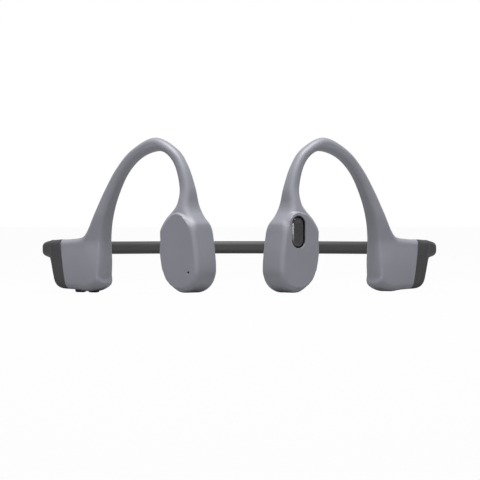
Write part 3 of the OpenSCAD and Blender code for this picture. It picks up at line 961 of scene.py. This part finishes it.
@dataclass
class Band:
    """One half of the band, from the boot to the middle of the back: sleeve, core and lead.

    The alloy core bends most beside the flex point.
    """

    side: Side
    height: float = 4.0
    thickness: float = 2.8
    corner: float = 1.35
    nose_growth: float = 0.38
    core_d: float = 1.2
    core_z: float = 13.85
    lead_d: float = 0.9
    lead_z: float = 12.0
    wire_from_p: float = 43.5
    bend_reach: float = 17.0
    corner_steps: int = 6
    face_steps: int = 8

    def boot(self) -> list[tuple[float, ...]]:
        """Sections of the boot, as the skin's stations."""
        housing = 4.0
        return [
            (47.3, 15.5, 44.3, 0.5, housing, 1.6, 1.8),
            (48.9, 15.4, 47.0, 0.7, housing, 1.6, 1.8),
            (50.2, 15.3, 48.7, 1.5, housing - 0.1, 1.6, 1.8),
            (51.0, 15.3, 49.6, 3.7, housing - 0.3, 1.6, 1.8),
            (51.7, 15.3, 50.8, 6.9, housing - 0.8, 1.5, 1.7),
            (52.5, 15.2, 52.3, 9.6, housing - 1.6, 1.4, 1.5),
        ]

    def nose(self, heading: float) -> float:
        """How much larger than the band the sleeve is at a heading."""
        return 1 + self.nose_growth * max(0.0, 1 - (heading - PATH.splay) / (90 - PATH.splay))

    def sleeve_ring(self, place: Place) -> list[Vector]:
        """Points round the sleeve at a place."""
        grown = self.nose(place.heading)
        ring = rounded(grown * self.height / 2, grown * self.thickness / 2, grown * self.corner,
                       grown * self.corner, self.corner_steps, self.face_steps)
        return [self.beside(place, depth, PATH.height_z + rise) for rise, depth in ring]

    def beside(self, place: Place, depth: float, z: float) -> Vector:
        """A point beside a place of the path, at a depth towards the head and a height."""
        a = math.radians(place.heading)
        return Vector((place.x - depth * math.sin(a), place.y + depth * math.cos(a), z))

    def sleeve(self) -> bpy.types.Object:
        """Builds the sleeve with its boot."""
        rows = self.boot()
        steps = 6
        rings = []
        for i in range((len(rows) - 1) * steps + 1):
            p1, z1, p2, z2, half, near, far = smooth_between(rows, i / steps)
            middle = Vector(((p1 + p2) / 2, (z1 + z2) / 2))
            across = Vector((p1 - p2, z1 - z2)) / 2
            way = across.normalized()
            section = rounded(across.length, half, near, far, self.corner_steps, self.face_steps)
            rings.append([PATH.unit((middle + way * u).x, y, (middle + way * u).y) for u, y in section])
        rings += [self.sleeve_ring(place) for place in PATH.places()[3:]]
        shape = Shape().loft(rings)
        made = self.side.settle(shape).piece(f"{self.side.value}_sleeve_half", Finishes.BAND)
        side = self.side.value
        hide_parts(f"{side}_band_sleeve", "rear_band_sleeve")
        self.bend(made)
        return made

    def wire(self, kind: str, z: float, diameter: float, finish: Finishes) -> bpy.types.Object:
        """Builds the core or the lead of this half.

        Args:
            kind: core or lead.
            z: its height.
            diameter: its diameter.
            finish: what it is made of.

        Returns:
            The piece.
        """
        r = diameter / 2
        turns = [math.tau * k / 12 for k in range(12)]
        count = round(PATH.root_p - self.wire_from_p)
        straight = [self.wire_from_p + (PATH.root_p - self.wire_from_p) * k / count for k in range(count + 1)]
        low = z - PATH.stand_z
        rings = [[PATH.unit(p, r * math.sin(a), low + r * math.cos(a)) for a in turns] for p in straight]
        rings += [[self.beside(place, r * math.sin(a), z + r * math.cos(a)) for a in turns]
                  for place in PATH.places()]
        side = self.side.value
        made = self.side.settle(Shape().loft(rings)).piece(f"{side}_band_{kind}_half", finish)
        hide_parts(f"{side}_band_{kind}", f"rear_band_{kind}")
        self.bend(made)
        return made

    def bend(self, piece: bpy.types.Object) -> None:
        """Bakes the piece's placement into its mesh."""
        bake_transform(piece)

    def build(self) -> list[bpy.types.Object]:
        """Builds the three parts of this half."""
        return [
            self.sleeve(),
            self.wire("core", self.core_z, self.core_d, Finishes.SPRING_ALLOY),
            self.wire("lead", self.lead_z, self.lead_d, Finishes.LEAD),
        ]


# ---------- buttons and microphone ----------


@dataclass
class MultifunctionButton:
    """The pill-shaped button on the left pod, and the ring it sits in."""

    p: float = -0.9
    z: float = 17.9
    width: float = 4.6
    length: float = 9.1
    gap: float = 0.1
    wall: float = 0.5
    face_y: float = -4.85
    ring_y: float = -4.7
    back_y: float = -3.35
    floor: float = 0.4
    flat_round: float = 1.5
    steps: int = 24

    def outline(self, grow: float) -> list[Flat]:
        """The button's outline, grown all round by some millimetres."""
        line = pill(self.width + 2 * grow, self.length + 2 * grow, self.steps)
        return [(self.p + x, self.z + z) for x, z in line]

    def margin(self, p: float, z: float) -> float:
        """How far a point of the pod's face is inside the flat round the button."""
        straight = (self.length - self.width) / 2
        beyond = max(0.0, abs(z - self.z) - straight)
        return self.width / 2 + self.flat_round - math.hypot(p - self.p, beyond)

    def pocket(self, clear: float, back: float) -> Shape:
        """What the ring's pocket takes out of the skin, with a softened mouth."""
        grow = self.gap + self.wall + clear
        lip = self.wall + clear - 0.16
        levels = [(0.0, back), (0.0, -4.69), (lip, -4.69), (lip, -4.9), (lip - 0.07, -5.01), (lip - 0.07, -8.0)]
        return Shape().loft([[PATH.unit(p, y, z) for p, z in inset(self.outline(grow), by)] for by, y in levels])

    def ring(self) -> bpy.types.Object:
        """Builds the ring round the button: a cup with a rounded rim and a hole for the stem."""
        outer, inner = self.gap + self.wall, self.gap
        levels = [
            (outer, self.back_y), (outer, self.ring_y + 0.15), (outer - 0.05, self.ring_y + 0.04),
            (outer - 0.15, self.ring_y), (inner + 0.12, self.ring_y), (inner + 0.03, self.ring_y + 0.04),
            (inner, self.ring_y + 0.12), (inner, self.back_y - self.floor),
        ]
        made = Shape().loft([[PATH.unit(p, y, z) for p, z in self.outline(grow)] for grow, y in levels])
        piece = made.piece("button_ring")
        carve(piece, [plate(disc(self.p, self.z, 0.95), -8.0, 0.0).piece("cut_0")])
        piece.data.materials.append(Finishes.BEZEL.value.material())
        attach(piece, "left_side")
        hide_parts("button_bezel")
        return piece

    def button(self) -> bpy.types.Object:
        """Builds the button: a plate with a polished bevel round a barely hollowed face, and its stem."""
        thick = 0.75
        levels = [
            (0.0, self.face_y + thick), (0.0, self.face_y + 0.56), (-0.04, self.face_y + 0.5),
            (-0.6, self.face_y + 0.04), (-0.66, self.face_y + 0.01), (-0.74, self.face_y),
            (-1.2, self.face_y + 0.04), (-1.7, self.face_y + 0.06),
        ]
        made = Shape()
        made.loft([[PATH.unit(p, y, z) for p, z in self.outline(grow)] for grow, y in levels])
        stem = [[PATH.unit(p, y, z) for p, z in disc(self.p, self.z, 0.8)] for y in (self.face_y + thick, -2.9)]
        made.loft(stem)
        piece = made.piece("multifunction_button_pill", Finishes.BUTTON_GLOSS)
        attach(piece, "multifunction_button")
        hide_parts("multifunction_button")
        return piece


@dataclass
class VolumeButton:
    """One of the two volume buttons under the right housing."""

    name: str
    p: float
    length: float = 3.7
    width: float = 2.4
    low_z: float = -0.5
    cap: float = 1.1
    gap: float = 0.15
    stem: tuple[float, float, float] = (2.4, 1.0, 2.28)
    steps: int = 16

    @staticmethod
    def both() -> list["VolumeButton"]:
        """The up and the down button."""
        return [VolumeButton("volume_up_button", 41.8), VolumeButton("volume_down_button", 36.6)]

    def outline(self, grow: float) -> list[Flat]:
        """The cap's outline, as (p, y), grown all round."""
        line = pill(self.width + 2 * grow, self.length + 2 * grow, self.steps)
        return [(self.p + along, across) for across, along in line]

    def stack(self, levels: Sequence[Flat]) -> Shape:
        """A body of the cap's outline through levels, each as (growth, z)."""
        return Shape().loft([[PATH.unit(p, y, z) for p, y in self.outline(grow)] for grow, z in levels])

    def slot_cutter(self) -> Shape:
        """What the button's slot takes out of the skin."""
        top = self.low_z + self.cap + 0.4
        return self.stack([(self.gap + 0.25, -2.5), (self.gap + 0.25, -0.4), (self.gap, 0.25), (self.gap, top)])

    def build(self) -> bpy.types.Object:
        """Builds the button: a cap with a rounded face and its stem."""
        z = self.low_z
        made = self.stack([
            (-0.75, z), (-0.45, z + 0.03), (-0.2, z + 0.12), (-0.06, z + 0.28), (0.0, z + 0.5),
            (0.0, z + self.cap),
        ])
        sx, sy, sz = self.stem
        base = [(self.p - sx / 2, -sy / 2), (self.p + sx / 2, -sy / 2), (self.p + sx / 2, sy / 2),
                (self.p - sx / 2, sy / 2)]
        made.loft([[PATH.unit(p, y, h) for p, y in base] for h in (z + self.cap, z + self.cap + sz)])
        piece = Side.RIGHT.settle(made).piece(f"{self.name}_cap", Finishes.BUTTON_SATIN)
        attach(piece, self.name)
        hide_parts(self.name)
        return piece


@dataclass
class Microphone:
    """The hole in the right pod that leads to the microphone."""

    p: float = -3.95
    z: float = 6.0
    radius: float = 0.4

    def hole(self, back: float) -> Shape:
        """What the hole takes out of the skin, with a rounded mouth."""
        levels = [(0.0, back + 0.4), (0.0, -4.88), (0.06, -4.97), (0.16, -5.05), (0.16, -7.0)]
        return Shape().loft([
            [PATH.unit(p, y, z) for p, z in disc(self.p, self.z, self.radius + grow)] for grow, y in levels
        ])


# ---------- carried-over parts ----------


INNER_FINISHES: dict[str, Finishes] = {
    "hook_core": Finishes.SPRING_ALLOY,
    "hook_lead": Finishes.LEAD,
    "housing_tub": Finishes.TUB,
    "pod_cup": Finishes.TUB,
    "spring_plate": Finishes.SPRING_STEEL,
    "yoke": Finishes.YOKE_STEEL,
    "magnet": Finishes.MAGNET,
    "pole_plate": Finishes.YOKE_STEEL,
    "speech_coil": Finishes.COIL,
    "battery_cell": Finishes.CELL,
    "battery_board": Finishes.BOARD,
    "button_switch_board": Finishes.BOARD,
    "main_board": Finishes.BOARD,
    "radio_module": Finishes.SHIELD,
    "volume_switch_board": Finishes.BOARD,
    "charging_contacts": Finishes.CONTACT,
    "status_light_pipe": Finishes.LIGHT,
    "microphone_capsule": Finishes.SHIELD,
    "microphone_mesh": Finishes.MESH,
}


def dress_inner_parts() -> None:
    """Gives each carried-over part the finish of what it is made of."""
    for name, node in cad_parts.items():
        plain = name.removeprefix("left_").removeprefix("right_")
        finish = INNER_FINISHES.get(plain)
        if finish is None or node.hide_render:
            continue
        node.data.materials.clear()
        node.data.materials.append(finish.value.material())
        LOG.info("dressed %s in %s", name, finish.value.name)


# ---------- studio ----------


@dataclass
class Studio:
    """A white table, soft lights and the camera at the front."""

    floor_radius: float = 6.0
    distance: float = 1.0
    aim_z: float = 0.0157
    rise: float = 0.00743
    frame_px: int = 480
    focal_px: float = 3249.5
    sensor_mm: float = 36.0
    paper: str = "#9c9c9c"
    floor_glow: float = 0.97

    def floor(self) -> None:
        """Lays the floor: a wide white disc under the object."""
        shape = bmesh.new()
        bmesh.ops.create_circle(shape, cap_ends=True, segments=96, radius=self.floor_radius)
        data = bpy.data.meshes.new("floor")
        shape.to_mesh(data)
        shape.free()
        made = bpy.data.objects.new("floor", data)
        made.location.z = -0.0002
        bpy.context.scene.collection.objects.link(made)
        paper = bpy.data.materials.new("white_paper")
        paper.use_nodes = True
        tree = paper.node_tree
        shader = tree.nodes["Principled BSDF"]
        shader.inputs["Base Color"].default_value = linear(self.paper)
        shader.inputs["Roughness"].default_value = 0.9
        glow = add_node(tree, "ShaderNodeEmission")
        seen = add_node(tree, "ShaderNodeLightPath").outputs["Is Camera Ray"]
        share = add_node(tree, "ShaderNodeMath", settings={"operation": "MULTIPLY"}, links={0: seen})
        share.inputs[1].default_value = self.floor_glow
        mix = add_node(tree, "ShaderNodeMixShader", links={0: share.outputs["Value"], 1: shader.outputs["BSDF"],
                                                          2: glow.outputs["Emission"]})
        tree.links.new(mix.outputs["Shader"], tree.nodes["Material Output"].inputs["Surface"])
        made.data.materials.append(paper)

    def light(self, name: str, place: Flat, height: float, size: float, power: float) -> None:
        """Hangs a square soft light that faces the object.

        Args:
            name: the light's name.
            place: where it hangs, as (x, y).
            height: how high.
            size: its side.
            power: its power in watts.
        """
        data = bpy.data.lights.new(name, "AREA")
        data.shape = "SQUARE"
        data.size = size
        data.energy = power
        made = bpy.data.objects.new(name, data)
        made.location = (place[0], place[1], height)
        made.rotation_euler = (Vector((0.0, 0.0, 0.02)) - made.location).to_track_quat("-Z", "Y").to_euler()
        bpy.context.scene.collection.objects.link(made)

    def world(self, strength: float) -> None:
        """Surrounds the scene with plain white light, dimmer than the backdrop that the camera sees."""
        world = bpy.data.worlds.new("white_studio")
        world.use_nodes = True
        tree = world.node_tree
        seen = add_node(tree, "ShaderNodeLightPath").outputs["Is Camera Ray"]
        share = add_node(tree, "ShaderNodeMapRange", values={"To Min": strength, "To Max": 1.0}, links={"Value": seen})
        tree.links.new(share.outputs["Result"], tree.nodes["Background"].inputs["Strength"])
        tree.nodes["Background"].inputs["Color"].default_value = (1.0, 1.0, 1.0, 1.0)
        bpy.context.scene.world = world

    def camera(self) -> None:
        """Stands the camera straight in front, barely above the table."""
        data = bpy.data.cameras.new("front_camera")
        data.sensor_width = self.sensor_mm
        data.lens = self.sensor_mm * self.focal_px / self.frame_px
        data.shift_x = 0.6 / self.frame_px
        data.clip_end = 50.0
        made = bpy.data.objects.new("front_camera", data)
        elevation = math.asin(self.rise)
        back = Vector((0.0, -math.cos(elevation), math.sin(elevation)))
        made.location = Vector((0.0, 0.0, self.aim_z)) + back * self.distance
        made.rotation_euler = (-back).to_track_quat("-Z", "Y").to_euler()
        bpy.context.scene.collection.objects.link(made)
        bpy.context.scene.camera = made

    def build(self) -> None:
        """Sets up the whole studio."""
        self.floor()
        bpy.context.scene.view_settings.view_transform = "Standard"
        self.world(0.28)
        self.light("top_softbox", (0.0, -0.2), 0.8, 0.6, 13.5)
        self.light("front_softbox", (0.0, -1.2), 0.08, 0.3, 2.6)
        self.camera()


# ---------- the whole ----------


def main() -> None:
    """Builds the headphones and the studio round them."""
    logging.basicConfig(level=logging.INFO, format="%(message)s")
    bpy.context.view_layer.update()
    makers: list[Callable[[], object]] = []
    for side in Side:
        makers += [Skin(side).build, Housing(side).build, Pod(side).build, Band(side).build]
    button = MultifunctionButton()
    makers += [button.ring, button.button]
    makers += [volume.build for volume in VolumeButton.both()]
    for make in makers:
        made = make()
        for piece in made if isinstance(made, list) else [made]:
            LOG.info("built %s: %d faces", piece.name, len(piece.data.polygons))
    dress_inner_parts()
    Studio().build()


if __name__ == "__main__":
    main()
